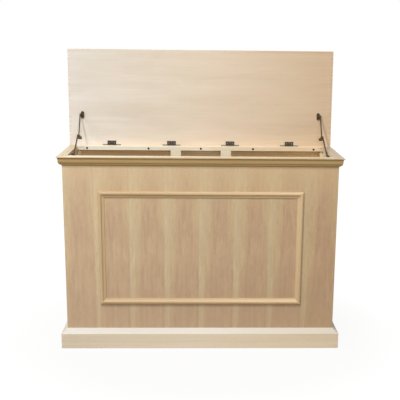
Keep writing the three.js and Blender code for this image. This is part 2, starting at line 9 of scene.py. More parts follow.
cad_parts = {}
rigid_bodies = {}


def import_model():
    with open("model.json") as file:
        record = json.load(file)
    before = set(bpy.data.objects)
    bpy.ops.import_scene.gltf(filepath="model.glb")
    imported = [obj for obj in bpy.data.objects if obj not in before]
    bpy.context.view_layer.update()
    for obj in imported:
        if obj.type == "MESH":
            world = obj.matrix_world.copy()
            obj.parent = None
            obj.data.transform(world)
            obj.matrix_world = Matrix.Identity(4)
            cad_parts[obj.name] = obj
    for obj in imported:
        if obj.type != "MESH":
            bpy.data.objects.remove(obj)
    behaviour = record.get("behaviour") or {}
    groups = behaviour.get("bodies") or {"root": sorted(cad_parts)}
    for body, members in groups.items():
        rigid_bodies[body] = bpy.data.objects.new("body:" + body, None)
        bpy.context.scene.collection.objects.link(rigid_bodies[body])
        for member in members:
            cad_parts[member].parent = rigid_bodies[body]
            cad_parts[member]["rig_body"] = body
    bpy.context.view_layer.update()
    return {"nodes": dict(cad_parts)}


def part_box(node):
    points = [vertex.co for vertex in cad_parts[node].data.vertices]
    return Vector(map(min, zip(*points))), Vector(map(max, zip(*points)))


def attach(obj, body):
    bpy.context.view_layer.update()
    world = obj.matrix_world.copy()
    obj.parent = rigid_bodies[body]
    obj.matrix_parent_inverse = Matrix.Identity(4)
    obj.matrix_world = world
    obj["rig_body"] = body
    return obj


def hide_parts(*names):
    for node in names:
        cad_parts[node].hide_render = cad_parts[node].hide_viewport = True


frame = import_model()
nodes = frame["nodes"]
scene = bpy.context.scene
scene.view_settings.view_transform = "Standard"
print("frame loaded:", len(nodes), "nodes")

mm = 0.001
caseWidth = 1.27   # metres over the crown, and the lid's width too
crownReach = 23    # mm that the crown stands out from the front panel
backFace = 451     # mm from the crown's front edge to the back of the case
paintedLightAt = (0.04, 0.5, 0.96)   # where the painted light's left, middle and right tints lie across the case
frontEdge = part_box("front_panel")[0].y - crownReach * mm
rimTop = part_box("front_panel")[1].z
rim = rimTop / mm


# A place in millimetres: across, back from the crown's front edge, and up
def at(x, y, z):
    return Vector((x * mm, frontEdge + y * mm, z * mm))


# Camera
photoView = {
    "place": (-25, -3800, 1403),
    "pitch": 14.71,   # degrees below level
    "yaw": -2.2,      # degrees, a little to the right
    "roll": 0.69,
    "lens": 78.3,
    "shiftX": -0.0693,
    "shiftY": 0.1589,
    "reach": 100,     # metres
}


def makeCamera(view):
    camera = bpy.data.objects.new("camera", bpy.data.cameras.new("camera"))
    turn = Matrix.Rotation(math.radians(view["yaw"]), 4, "Z")
    turn = turn @ Matrix.Rotation(math.radians(90 - view["pitch"]), 4, "X")
    turn = turn @ Matrix.Rotation(math.radians(view["roll"]), 4, "Z")
    camera.matrix_world = Matrix.Translation(at(*view["place"])) @ turn
    camera.data.lens = view["lens"]
    camera.data.shift_x = view["shiftX"]
    camera.data.shift_y = view["shiftY"]
    camera.data.clip_end = view["reach"]
    scene.collection.objects.link(camera)
    scene.camera = camera


makeCamera(photoView)


# Shader maths
# A socket that can be added, subtracted, multiplied and so on
class Wire:
    def __init__(self, graph, socket):
        self.graph = graph
        self.socket = socket

    # Another output of the same node
    def output(self, name):
        return Wire(self.graph, self.socket.node.outputs[name])

    def maths(self, operation, other=0.0):
        return self.graph.node("ShaderNodeMath", {"operation": operation}, {0: self, 1: other})

    def __add__(self, other):
        return self.maths("ADD", other)

    def __sub__(self, other):
        return self.maths("SUBTRACT", other)

    def __rsub__(self, other):
        return self.graph.node("ShaderNodeMath", {"operation": "SUBTRACT"}, {0: other, 1: self})

    def __mul__(self, other):
        return self.maths("MULTIPLY", other)

    def __abs__(self):
        return self.maths("ABSOLUTE")

    __radd__ = __add__
    __rmul__ = __mul__

    # 0 below low, 1 above high and smooth between them; high may be the lower one
    def between(self, low, high):
        settings = {"interpolation_type": "SMOOTHSTEP", "clamp": True}
        sockets = {"Value": self, "From Min": low, "From Max": high}
        return self.graph.node("ShaderNodeMapRange", settings, sockets)


# A node tree under construction
class Graph:
    def __init__(self, tree):
        self.tree = tree

    # Every new node comes from here: its kind, its settings, what its sockets hold or are fed
    # by, and which of its outputs is wanted
    def node(self, kind, settings=None, sockets=None, output=0):
        made = self.tree.nodes.new(kind)
        for name, value in (settings or {}).items():
            if name == "stops":
                self.setStops(made.color_ramp, value)
            else:
                setattr(made, name, value)
        for name, value in (sockets or {}).items():
            self.feed(made.inputs[name], value)
        return Wire(self, made.outputs[output])

    def setStops(self, ramp, stops):
        while len(ramp.elements) < len(stops):
            ramp.elements.new(1.0)
        for element, (position, colour) in zip(ramp.elements, stops):
            element.position = position
            element.color = (*colour, 1.0)

    def feed(self, socket, value):
        if isinstance(value, Wire):
            self.tree.links.new(value.socket, socket)
        elif socket.type == "RGBA" and len(value) == 3:
            socket.default_value = (*value, 1.0)
        else:
            socket.default_value = value

    # 1 for what the camera, gloss or glass sees, and 0 for light on its way to a surface
    def seen(self):
        camera = self.node("ShaderNodeLightPath", {}, {}, "Is Camera Ray")
        mirrored = camera.maths("MAXIMUM", camera.output("Is Glossy Ray"))
        return mirrored.maths("MAXIMUM", camera.output("Is Transmission Ray"))


# A material under construction
class Finish(Graph):
    def __init__(self, name):
        self.material = bpy.data.materials.new(name)
        self.material.use_nodes = True
        super().__init__(self.material.node_tree)
        self.shader = self.tree.nodes["Principled BSDF"]
        self.colour = None

    def set(self, values):
        for name, value in values.items():
            self.feed(self.shader.inputs[name], value)

    def place(self, output="Object"):
        return self.node("ShaderNodeTexCoord", {}, {}, output)

    def parts(self, vector):
        first = self.node("ShaderNodeSeparateXYZ", {}, {0: vector})
        return [first.output(axis) for axis in "XYZ"]

    def joined(self, x, y, z):
        return self.node("ShaderNodeCombineXYZ", {}, {"X": x, "Y": y, "Z": z})

    def stretch(self, vector, scale=(1, 1, 1), shift=(0, 0, 0), turn=(0, 0, 0)):
        sockets = {"Vector": vector, "Location": shift, "Rotation": turn, "Scale": scale}
        return self.node("ShaderNodeMapping", {}, sockets)

    # Noise with so many cycles in a metre along each axis, shifted and turned
    def noise(self, vector, scale=(1, 1, 1), shift=(0, 0, 0), turn=(0, 0, 0), detail=2,
              roughness=0.5, distortion=0):
        sockets = {"Vector": self.stretch(vector, scale, shift, turn), "Scale": 1, "Detail": detail,
                   "Roughness": roughness, "Distortion": distortion}
        return self.node("ShaderNodeTexNoise", {}, sockets)

    def ramp(self, value, positions, colours):
        stops = list(zip(positions, colours))
        return self.node("ShaderNodeValToRGB", {"stops": stops}, {0: value})

    def blend(self, factor, first, second, how="MIX"):
        settings = {"data_type": "RGBA", "blend_type": how}
        return self.node("ShaderNodeMix", settings, {0: factor, 6: first, 7: second}, 2)

    # Lays a colour over the one so far, where a mask says
    def lay(self, mask, colour, how="MIX"):
        self.colour = self.blend(mask, self.colour, colour, how)

    def tint(self, colour, mask=1.0):
        self.lay(mask, colour, "MULTIPLY")

    def bump(self, height, look):
        sockets = {"Height": height, "Strength": look["relief"], "Distance": look["reliefDepth"]}
        self.set({"Normal": self.node("ShaderNodeBump", {}, sockets)})

    # Painted light: a tint that drifts from the left end of the case to the right, for cool light from
    # the left and warm light from the right
    def paintedLightDrift(self, x, look):
        share = (x + caseWidth / 2) * (1 / caseWidth)
        return self.ramp(share, paintedLightAt, [look["leftTone"], (1, 1, 1), look["rightTone"]])

    # 1 on the rounded arrises and 0 elsewhere
    def worn(self):
        return self.node("ShaderNodeAttribute", {"attribute_name": "worn"}, {}, "Fac")


# Sum of layers by name, each times its weight
def mixed(layers, weights):
    shares = [layers[name] * weight for name, weight in weights.items()]
    return sum(shares[1:], shares[0])


# Wood
# What the solid woods share: layers of noise with their cycles in a metre across and along the
# grain, where masks begin and are full, and what each layer counts in tone, roughness and relief
grainLook = {
    "layers": {
        "wander": {"scale": (6, 1.1)},
        "broad": {"scale": (14, 0.9), "detail": 3, "roughness": 0.55},
        "streak": {"scale": (90, 2.2), "detail": 4, "roughness": 0.6},
        "fibre": {"scale": (620, 12), "roughness": 0.6},
        "pores": {"scale": (1500, 70), "detail": 1},
    },
    "toneOf": {"broad": 0.5, "streak": 0.35, "fibre": 0.15}, "toneAt": (0.3, 0.5, 0.68),
    "ringSlant": 0.63, "lateFrom": (0.72, 1.0), "poreFrom": (0.34, 0.26),
    "upperSpan": 0.2, "upperShare": 0.9, "underFrom": (0.02, -0.45), "quirkCore": 0.3,
    "endFrom": (0.75, 0.9), "endShare": 0.75, "endSpeckle": 900, "speckleAt": (0.35, 0.65),
    "roughTone": 0.25, "roughPores": 0.2, "wornGloss": 0.08,
    "reliefOf": {"fibre": 0.5, "streak": 0.3, "pits": -0.8, "late": -0.25}, "reliefDepth": 0.0006,
}
# Painted left and right light are painted light at the ends of the case, as shares of the wood's own
# tone in the middle
mouldingLook = {
    **grainLook,
    "pale": (0.66, 0.5, 0.31), "middle": (0.56, 0.41, 0.238), "deep": (0.465, 0.325, 0.173),
    "line": (0.40, 0.265, 0.13), "pore": (0.35, 0.23, 0.115), "rubbed": (0.76, 0.61, 0.40),
    "under": (0.95, 0.92, 0.86),
    "endPale": (0.5, 0.36, 0.2), "endDeep": (0.38, 0.26, 0.135),
    "leftTone": (0.96, 0.95, 0.95), "rightTone": (1.13, 1.14, 1.18),
    "wander": 0.012, "ringStep": 0.0062, "ringDepth": 0.26, "poreDepth": 0.35,
    "wear": 0.6, "rough": 0.46, "gloss": 0.42, "relief": 0.35,
}
# The crown: the moulding wood painted darker and yellower, as painted shade for the shade under the
# rim
# Each painted band: depth below the rim, half its width, and tint; on the crown the dark bands are
# painted shade under its nose and beads, and the light band is a painted highlight
crownLook = {
    **mouldingLook,
    "leftTone": (1.02, 1.02, 1.03), "rightTone": (0.97, 0.96, 0.94),
    "pale": (0.49, 0.356, 0.172), "middle": (0.41, 0.285, 0.127), "deep": (0.334, 0.22, 0.092),
    "line": (0.34, 0.22, 0.1), "pore": (0.3, 0.19, 0.09), "rubbed": (0.6, 0.45, 0.26),
    "under": (0.94, 0.88, 0.73), "upper": (0.625, 0.45, 0.25), "upperFrom": 0.7, "wear": 0.4,
    "quirks": [(0.0075, 0.003, (0.92, 0.9, 0.84)), (0.0262, 0.0027, (0.68, 0.63, 0.56)),
               (0.0312, 0.003, (1.6, 1.6, 1.62)), (0.0358, 0.0026, (0.72, 0.7, 0.64))],
}
crownSideLook = {**crownLook, "upper": (0.56, 0.445, 0.295)}
plinthLook = {
    **mouldingLook,
    "leftTone": (0.91, 0.92, 0.93), "rightTone": (0.96, 0.93, 0.88),
    "pale": (0.81, 0.705, 0.568), "middle": (0.75, 0.64, 0.496), "deep": (0.682, 0.56, 0.418),
    "line": (0.65, 0.51, 0.35), "rubbed": (0.84, 0.78, 0.68), "ringDepth": 0.18, "ringStep": 0.0075,
    "under": (1.0, 1.0, 1.0), "upper": (0.65, 0.62, 0.565), "upperFrom": 0.45, "wear": 0.35,
}
# The plinth's sides: their upward slope painted darker and warmer, as painted shade
plinthSideLook = {**plinthLook, "upper": (0.58, 0.49, 0.375)}
paleLook = {
    **mouldingLook,
    "leftTone": (1.03, 1.12, 1.24), "rightTone": (0.98, 0.88, 0.76),
    "pale": (0.84, 0.77, 0.61), "middle": (0.79, 0.70, 0.54), "deep": (0.72, 0.615, 0.455),
    "line": (0.64, 0.52, 0.36), "pore": (0.56, 0.44, 0.3), "rubbed": (0.88, 0.82, 0.69),
    "endPale": (0.68, 0.55, 0.38), "endDeep": (0.55, 0.42, 0.27), "under": (1.0, 1.0, 1.0),
    "wander": 0.01, "ringStep": 0.006, "ringDepth": 0.16, "poreDepth": 0.2, "wear": 0.4,
    "rough": 0.42, "relief": 0.25,
}
postLook = {**paleLook, "leftTone": (1.04, 0.96, 0.82)}
innerLook = {
    **mouldingLook,
    "pale": (0.88, 0.68, 0.42), "middle": (0.85, 0.62, 0.36), "deep": (0.76, 0.52, 0.27),
    "leftTone": (1.06, 1.06, 1.05), "rightTone": (0.96, 0.94, 0.86),
    "under": (1.0, 1.0, 1.0), "rough": 0.58, "gloss": 0.3,
}
# A paler band along the middle of the rail behind the opening is painted light, where light falls
# below the hinge rail's shadow
backRailLook = {**innerLook, "quirks": [(0.048, 0.0095, (1.12, 1.24, 1.42))]}
backLook = {
    **innerLook,
    "pale": (0.76, 0.55, 0.34), "middle": (0.69, 0.475, 0.275), "deep": (0.59, 0.385, 0.205),
    "line": (0.48, 0.3, 0.15), "pore": (0.4, 0.25, 0.125), "rubbed": (0.76, 0.6, 0.41),
    "endPale": (0.5, 0.35, 0.2), "endDeep": (0.37, 0.24, 0.13),
    "ringStep": 0.011, "wander": 0.05, "ringDepth": 0.3, "rough": 0.6, "gloss": 0.28,
}


# Scale along the three axes, for a pattern drawn out along one of them
def drawnOut(along, across, lengthwise):
    scale = [across] * 3
    scale[along] = lengthwise
    return tuple(scale)


# The last coat on any wood: rubbed arrises, roughness, and the relief of its grain
def polished(finish, tone, grain, look):
    worn = finish.worn()
    finish.lay(worn * look["wear"], look["rubbed"])
    rough = look["rough"] + (tone - 0.5) * look["roughTone"]
    rough = rough + grain["pits"] * look["roughPores"] - worn * look["wornGloss"]
    finish.set({"Base Color": finish.colour, "Roughness": rough,
                "Specular IOR Level": look["gloss"]})
    finish.bump(mixed(grain, look["reliefOf"]), look)
    return finish.material


# Straight-grained solid wood, with the grain along one axis (0 is X, 1 is Y, 2 is Z)
def solidWood(name, look, along, seed=0.0):
    finish = Finish(name)
    place = finish.place()
    axes = finish.parts(place)
    outwards = finish.parts(finish.place("Normal"))
    shift = (seed, 2 * seed, 3 * seed)
    grain = {}
    for layer, size in look["layers"].items():
        size = {**size, "scale": drawnOut(along, *size["scale"])}
        grain[layer] = finish.noise(place, shift=shift, **size)
    tone = mixed(grain, look["toneOf"])
    finish.colour = finish.ramp(tone, look["toneAt"], [look["deep"], look["middle"], look["pale"]])
    side = axes[(along + 1) % 3] + axes[(along + 2) % 3] * look["ringSlant"]
    lines = (side + grain["wander"] * look["wander"]) * (1 / look["ringStep"])
    rings = abs(lines.maths("FRACT") - 0.5) * 2.0
    grain["late"] = rings.between(*look["lateFrom"]) * look["ringDepth"]
    finish.lay(grain["late"], look["line"])
    grain["pits"] = grain["pores"].between(*look["poreFrom"]) * look["poreDepth"]
    finish.lay(grain["pits"], look["pore"])
    # Painted light: faces that look up are painted paler, for the light from above and its sheen; on
    # the plinth's sides they are painted darker, as painted shade
    if "upper" in look:
        paintedTopMask = outwards[2].between(look["upperFrom"], look["upperFrom"] + look["upperSpan"])
        finish.lay(paintedTopMask * look["upperShare"], look["upper"])
    # Painted shade: faces that look down are tinted darker and yellower, for the shade under the
    # mouldings
    paintedShadeBelowMask = outwards[2].between(*look["underFrom"])
    finish.tint(look["under"], paintedShadeBelowMask)
    # Painted shade and painted light in bands across the height: shade lines and a highlight on the
    # crown, and a lighter band on the back rail
    for drop, half, tint in look.get("quirks", ()):
        paintedBand = abs(axes[2] - (rimTop - drop)).between(half, half * look["quirkCore"])
        finish.tint(tint, paintedBand)
    # End grain is darker and short in the fibre
    endGrain = abs(outwards[along]).between(*look["endFrom"])
    speckle = finish.noise(place, (look["endSpeckle"],) * 3)
    endTone = finish.ramp(speckle, look["speckleAt"], [look["endDeep"], look["endPale"]])
    finish.lay(endGrain * look["endShare"], endTone)
    # Painted light across the case, cool at the left and warm at the right
    finish.tint(finish.paintedLightDrift(axes[0], look))
    return polished(finish, tone, grain, look)


# The lid's board: pale clouded veneer with a solid lipping round its edges
lidLook = {
    "tilt": 3,   # degrees that the open lid leans back
    "layers": {
        "cloud": {"scale": (2.6, 40, 17), "shift": (1.3, 0, 2.6), "detail": 3, "roughness": 0.55,
                  "distortion": 0.45},
        "patch": {"scale": (5.5, 40, 9), "shift": (1, 1.3, 4), "distortion": 1.2},
        "streak": {"scale": (2.4, 90, 120), "shift": (1.3, 0, 2.6), "detail": 4, "roughness": 0.6},
        "fibre": {"scale": (16, 700, 700), "shift": (1.3, 0, 2.6), "roughness": 0.6},
        "flecks": {"scale": (60, 900, 900), "shift": (1.3, 0, 2.6), "detail": 1},
    },
    "toneOf": {"cloud": 0.6, "streak": 0.25, "fibre": 0.15}, "toneAt": (0.34, 0.5, 0.64),
    "leftTone": (1.0, 1.09, 1.24), "rightTone": (0.87, 0.77, 0.65),
    "pale": (0.70, 0.6, 0.48), "middle": (0.66, 0.555, 0.435), "deep": (0.61, 0.5, 0.375),
    "rosy": (0.68, 0.545, 0.435), "rosyFrom": (0.5, 0.66), "rosyShare": 0.6,
    "line": (0.56, 0.44, 0.31), "lineDepth": 0.2, "lineStep": 0.011, "lineWander": 0.03,
    "lineFrom": (0.36, 0.5), "lineFade": (0.62, 0.42),
    "fleck": (0.5, 0.37, 0.24), "fleckDepth": 0.25, "fleckFrom": (0.33, 0.26),
    "lipping": (0.6, 0.44, 0.3), "lippingWidth": 0.01, "lippingShare": 0.75,
    "lippingSeam": 0.0006, "lippingFrom": (0.35, 0.65),
    "upperShade": 0.94, "lowerShade": 1.06, "shadeStep": 2.2, "shadeAt": (0.0, 0.7, 1.0),
    "outside": (0.93, 0.86, 0.77), "outsideFrom": (0.5, 0.9),
    "rubbed": (0.78, 0.69, 0.55), "wear": 0.35, "rough": 0.4, "gloss": 0.42,
    "roughTone": 0.3, "roughPores": 0.2, "wornGloss": 0.06,
    "reliefOf": {"fibre": 0.5, "streak": 0.2, "pits": -0.8, "lines": -0.2},
    "relief": 0.2, "reliefDepth": 0.0005,
}


# The grain runs along X, and the pattern leans back with the open lid
def cloudedBoard(name, look):
    finish = Finish(name)
    tilt = math.radians(look["tilt"])
    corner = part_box("lid_panel")[1]
    top = corner.z * math.cos(tilt) - corner.y * math.sin(tilt)
    place = finish.stretch(finish.place(), turn=(-tilt, 0, 0))
    x, y, z = finish.parts(place)
    grain = {layer: finish.noise(place, **size) for layer, size in look["layers"].items()}
    tone = mixed(grain, look["toneOf"])
    finish.colour = finish.ramp(tone, look["toneAt"], [look["deep"], look["middle"], look["pale"]])
    rosy = grain["patch"].between(*look["rosyFrom"]) * look["rosyShare"]
    finish.lay(rosy, look["rosy"])
    lines = (z + grain["cloud"] * look["lineWander"]) * (1 / look["lineStep"])
    lines = abs(lines.maths("FRACT") - 0.5).between(*look["lineFrom"])
    grain["lines"] = lines * grain["patch"].between(*look["lineFade"]) * look["lineDepth"]
    finish.lay(grain["lines"], look["line"])
    grain["pits"] = grain["flecks"].between(*look["fleckFrom"]) * look["fleckDepth"]
    finish.lay(grain["pits"], look["fleck"])
    ends = caseWidth / 2 - look["lippingWidth"]
    upper = top - look["lippingWidth"]
    side = abs(x).between(ends - look["lippingSeam"], ends)
    lipping = side.maths("MAXIMUM", z.between(upper - look["lippingSeam"], upper))
    solid = finish.blend(grain["streak"].between(*look["lippingFrom"]), look["lipping"], look["pale"])
    finish.lay(lipping * look["lippingShare"], solid)
    # Painted light across the lid, cool at the left and warm at the right
    finish.tint(finish.paintedLightDrift(x, look))
    # Painted shade towards the top of the lid and painted light towards its foot
    shades = [(look["upperShade"],) * 3, (1, 1, 1), (look["lowerShade"],) * 3]
    shade = finish.ramp((top - z) * look["shadeStep"], look["shadeAt"], shades)
    finish.tint(shade)
    # The outer face is oiled to match the front
    outer = finish.parts(finish.place("Normal"))[1].between(*look["outsideFrom"])
    finish.tint(look["outside"], outer)
    return polished(finish, tone, grain, look)


# Veneer laid in leaves side by side. Each leaf has a straight pale edge on its left and a heart
# that narrows upwards, and every leaf is almost the one before it.
veneerLook = {
    "leafWidth": 0.1563, "firstJoint": -0.0087, "leafStep": 0.045,
    # Noise across the leaf, from leaf to leaf and up
    "layers": {
        "wander": {"scale": (9, 1, 4), "detail": 3, "roughness": 0.55},
        "broad": {"scale": (26, 1.4, 6), "detail": 3, "roughness": 0.55},
        "straight": {"scale": (95, 2, 3.5), "detail": 3, "roughness": 0.6},
        "flame": {"scale": (62, 8, 15), "shift": (0, 3, 0), "detail": 4, "roughness": 0.62,
                  "distortion": 0.8},
    },
    "fibre": {"scale": (700, 700, 11), "roughness": 0.6},
    "pores": {"scale": (1700, 1700, 60), "detail": 1},
    # The heart, its flanks, and the streaks that follow them
    "heart": 0.6, "heartWander": 0.034, "nearSlope": 0.75, "flare": 0.09, "flareFrom": 0.72,
    "softTip": 0.00004, "broadSway": 0.03, "straightSway": 0.02,
    "flankStep": 10.0, "flankAt": (0.02, 0.14, 0.3, 0.52),
    "heartTone": (0.505, 0.352, 0.228), "pinkTone": (0.52, 0.367, 0.236),
    "tanTone": (0.54, 0.395, 0.242), "paleTone": (0.555, 0.425, 0.266),
    "streakAcross": 130.0, "streakLeaf": 0.4, "streakUp": 5.0,
    "streak": {"detail": 4, "roughness": 0.62},
    # The pale stripe beside each joint
    "stripe": 0.034, "stripeFlare": 0.026, "stripeWander": 0.012, "stripeSway": 0.016,
    "stripeFrom": (-0.0035, 0.0045), "stripeShare": 0.9, "edgeTone": (0.575, 0.455, 0.295),
    "toneOf": {"broad": 0.2, "streak": 0.3, "straight": 0.22, "flame": 0.28},
    "toneAt": (0.38, 0.5, 0.62),
    "tones": [(0.83, 0.815, 0.797), (0.965, 0.97, 0.96), (1.08, 1.115, 1.114)],
    "topTone": (0.625, 0.472, 0.287), "topFrom": (0.62, 0.86), "topShare": 0.55,
    "lowTone": (0.473, 0.337, 0.217), "lowFrom": (0.35, 0.12), "lowShare": 0.4,
    "leftTone": (1.08, 1.09, 1.12), "rightTone": (0.94, 0.9, 0.86),
    "line": (0.40, 0.26, 0.15), "ringStep": 0.0043, "ringDepth": 0.27, "ringSway": 0.003,
    "ringRise": (0.3, 0.92), "ringFall": (1.0, 0.96), "ringLeast": 0.3, "ringMost": 0.7,
    "ringFade": (0.35, 0.65),
    "pore": (0.36, 0.24, 0.14), "poreDepth": 0.3, "poreFrom": (0.35, 0.27),
    "jointFrom": (0.4975, 0.5), "jointDepth": 0.3,
    # The plies in the board's edges, and the sheet on its inner face
    "plyPale": (0.74, 0.6, 0.42), "plyDark": (0.55, 0.4, 0.25), "plyStep": 0.003,
    "plyFrom": (0.2, 0.3), "plySpeckle": 500, "plyLeast": 0.6, "plyMost": 0.4,
    "edgeFrom": (0.8, 0.95), "edgeShare": 0.8,
    "backing": (0.68, 0.55, 0.39), "backingPale": (0.76, 0.64, 0.475),
    "backingFrom": (0.4, 0.6), "inwardFrom": (-0.04, -0.14),
    "rubbed": (0.70, 0.55, 0.37), "wear": 0.5, "rough": 0.44, "gloss": 0.4,
    "roughTone": 0.2, "roughPores": 0.2, "wornGloss": 0.06,
    "reliefOf": {"fibre": 0.5, "streak": 0.25, "pits": -0.8, "late": -0.3},
    "relief": 0.25, "reliefDepth": 0.0006,
}
sideVeneerLook = {
    **veneerLook, "firstJoint": 0.03, "plyPale": (0.6, 0.49, 0.34), "plyDark": (0.45, 0.33, 0.205),
}


# Across is the axis that the leaves are laid along (0 is X, 1 is Y)
def leafVeneer(name, look, across, seed=0.0):
    finish = Finish(name)
    place = finish.place()
    axes = finish.parts(place)
    outwards = finish.parts(finish.place("Normal"))
    height = axes[2]
    leaf = (axes[across] - look["firstJoint"]) * (1 / look["leafWidth"])
    number = leaf.maths("FLOOR")
    share = leaf.maths("FRACT")
    fromJoint = share * look["leafWidth"]
    onLeaf = finish.joined(fromJoint, number * look["leafStep"] + seed, height)
    grain = {layer: finish.noise(onLeaf, **size) for layer, size in look["layers"].items()}
    wander = grain["wander"] - 0.5
    sway = grain["straight"] - 0.5
    # Distance from the heart, along the flanks that flare downwards
    below = look["flareFrom"] - height
    off = (share - look["heart"]) * look["leafWidth"] + wander * look["heartWander"]
    flank = (off * look["nearSlope"]).maths("MAXIMUM", off * -1.0) - below * look["flare"]
    bend = (flank * flank + look["softTip"]).maths("SQRT")
    flank = (flank + bend) * 0.5 + (grain["broad"] - 0.5) * look["broadSway"]
    flank = flank + sway * look["straightSway"]
    tones = [look["heartTone"], look["pinkTone"], look["tanTone"], look["paleTone"]]
    finish.colour = finish.ramp(flank * look["flankStep"], look["flankAt"], tones)
    # The pale stripe beside the joint narrows downwards
    reach = look["stripe"] - below * look["stripeFlare"]
    reach = reach + wander * look["stripeWander"] + sway * look["stripeSway"]
    stripe = (reach - fromJoint).between(*look["stripeFrom"]) * look["stripeShare"]
    finish.lay(stripe, look["edgeTone"])
    streakPlace = finish.joined(
        flank * look["streakAcross"], number * look["streakLeaf"] + seed, height * look["streakUp"],
    )
    for layer, where in (("streak", streakPlace), ("fibre", place), ("pores", place)):
        grain[layer] = finish.noise(where, **look[layer])
    tone = mixed(grain, look["toneOf"])
    finish.tint(finish.ramp(tone, look["toneAt"], look["tones"]))
    # Lighter and yellower towards the top and darker towards the bottom: partly the veneer's own
    # colour and partly painted light from above
    for end in ("top", "low"):
        reached = height.between(*look[end + "From"]) * look[end + "Share"]
        finish.lay(reached, look[end + "Tone"])
    lines = (flank + grain["straight"] * look["ringSway"]) * (1 / look["ringStep"])
    rings = lines.maths("FRACT")
    late = rings.between(*look["ringRise"]) * rings.between(*look["ringFall"])
    depth = look["ringLeast"] + grain["streak"].between(*look["ringFade"]) * look["ringMost"]
    grain["late"] = late * depth * look["ringDepth"]
    finish.lay(grain["late"], look["line"])
    grain["pits"] = grain["pores"].between(*look["poreFrom"]) * look["poreDepth"]
    finish.lay(grain["pits"], look["pore"])
    joint = abs(share - 0.5).between(*look["jointFrom"]) * look["jointDepth"]
    finish.lay(joint, look["pore"])
    # The inner face has a plainer backing, and the board's edges show its plies
    inward = (outwards[1 - across] * axes[1 - across]).between(*look["inwardFrom"])
    paler = tone.between(*look["backingFrom"])
    backing = finish.blend(paler, look["backing"], look["backingPale"])
    finish.lay(inward, backing)
    plyDepth = axes[1 - across] * (1 / look["plyStep"])
    ply = abs(plyDepth.maths("FRACT") - 0.5).between(*look["plyFrom"])
    speckle = finish.noise(place, (look["plySpeckle"],) * 3)
    ply = ply * (look["plyLeast"] + speckle * look["plyMost"])
    plies = finish.blend(ply, look["plyPale"], look["plyDark"])
    edge = abs(outwards[2]).maths("MAXIMUM", abs(outwards[across]))
    finish.lay(edge.between(*look["edgeFrom"]) * look["edgeShare"], plies)
    # Painted light across the front, cool at the left and warm at the right
    if across == 0:
        finish.tint(finish.paintedLightDrift(axes[0], look))
    return polished(finish, tone, grain, look)


# Metal and plastic
# What all of them share
hardLook = {
    "mottle": {"scale": (38, 38, 38), "detail": 4, "roughness": 0.6}, "mottleFrom": (0.3, 0.72),
    "scratch": {"scale": (260, 21, 260), "shift": (3, 1, 2), "turn": (0.3, 0.5, 0.7), "detail": 3,
                "roughness": 0.7},
    "scratchFrom": (0.68, 0.74), "scratchShare": 0.3, "wear": 0.3,
    "brush": (1800, 14), "grainRoughness": 0.6,
    "roughMottle": 0.22, "roughGrain": 0.1, "bareGloss": 0.1, "relief": 0.18, "reliefDepth": 0.0003,
}
# Colours: its own, its mottling, and its bare arrises and scratches
steelLook = {
    "colour": (0.04, 0.034, 0.029), "other": (0.065, 0.056, 0.048), "bright": (0.22, 0.2, 0.175),
    "metal": 0.2, "rough": 0.52, "grain": 900, "gloss": 0.22,
}
blackLook = {
    "colour": (0.022, 0.022, 0.024), "other": (0.034, 0.034, 0.036), "bright": (0.16, 0.16, 0.16),
    "metal": 0.0, "rough": 0.5, "grain": 1300, "gloss": 0.4,
}
# Brushed is the axis of the brush or die lines, where there are any
fittingLooks = {
    "hingeSteel": steelLook,
    # The hinge steel painted lighter as a painted reflection, for the rail leaves lying flat under the
    # light; the lid leaves' screws share it
    "wingSteel": {
        **steelLook, "metal": 0.3,
        "colour": (0.14, 0.12, 0.095), "other": (0.2, 0.175, 0.14), "bright": (0.46, 0.42, 0.36),
    },
    "boltSteel": {
        **steelLook, "metal": 0.0, "rough": 0.6, "gloss": 0.1,
        "colour": (0.016, 0.013, 0.01), "other": (0.03, 0.025, 0.02), "bright": (0.06, 0.052, 0.042),
    },
    "bronze": {
        "colour": (0.05, 0.031, 0.013), "other": (0.09, 0.058, 0.028), "bright": (0.34, 0.25, 0.13),
        "metal": 0.2, "rough": 0.5, "grain": 700, "gloss": 0.22,
    },
    "brass": {
        "colour": (0.42, 0.34, 0.2), "other": (0.54, 0.45, 0.29), "bright": (0.75, 0.68, 0.5),
        "metal": 0.8, "rough": 0.33, "grain": 700, "gloss": 0.5,
    },
    "zinc": {
        "colour": (0.5, 0.49, 0.46), "other": (0.62, 0.6, 0.56), "bright": (0.8, 0.79, 0.76),
        "metal": 0.85, "rough": 0.34, "grain": 600, "gloss": 0.5,
    },
    "blackCoat": blackLook,
    "columnBlack": {**blackLook, "brushed": 2},
    "tube": {
        "colour": (0.42, 0.43, 0.45), "other": (0.5, 0.51, 0.53), "bright": (0.72, 0.72, 0.73),
        "metal": 0.85, "rough": 0.36, "brushed": 2, "gloss": 0.5,
    },
    "plastic": {
        "colour": (0.024, 0.025, 0.028), "other": (0.034, 0.035, 0.038), "bright": (0.09, 0.09, 0.095),
        "metal": 0.0, "rough": 0.55, "grain": 2200, "gloss": 0.4,
    },
}


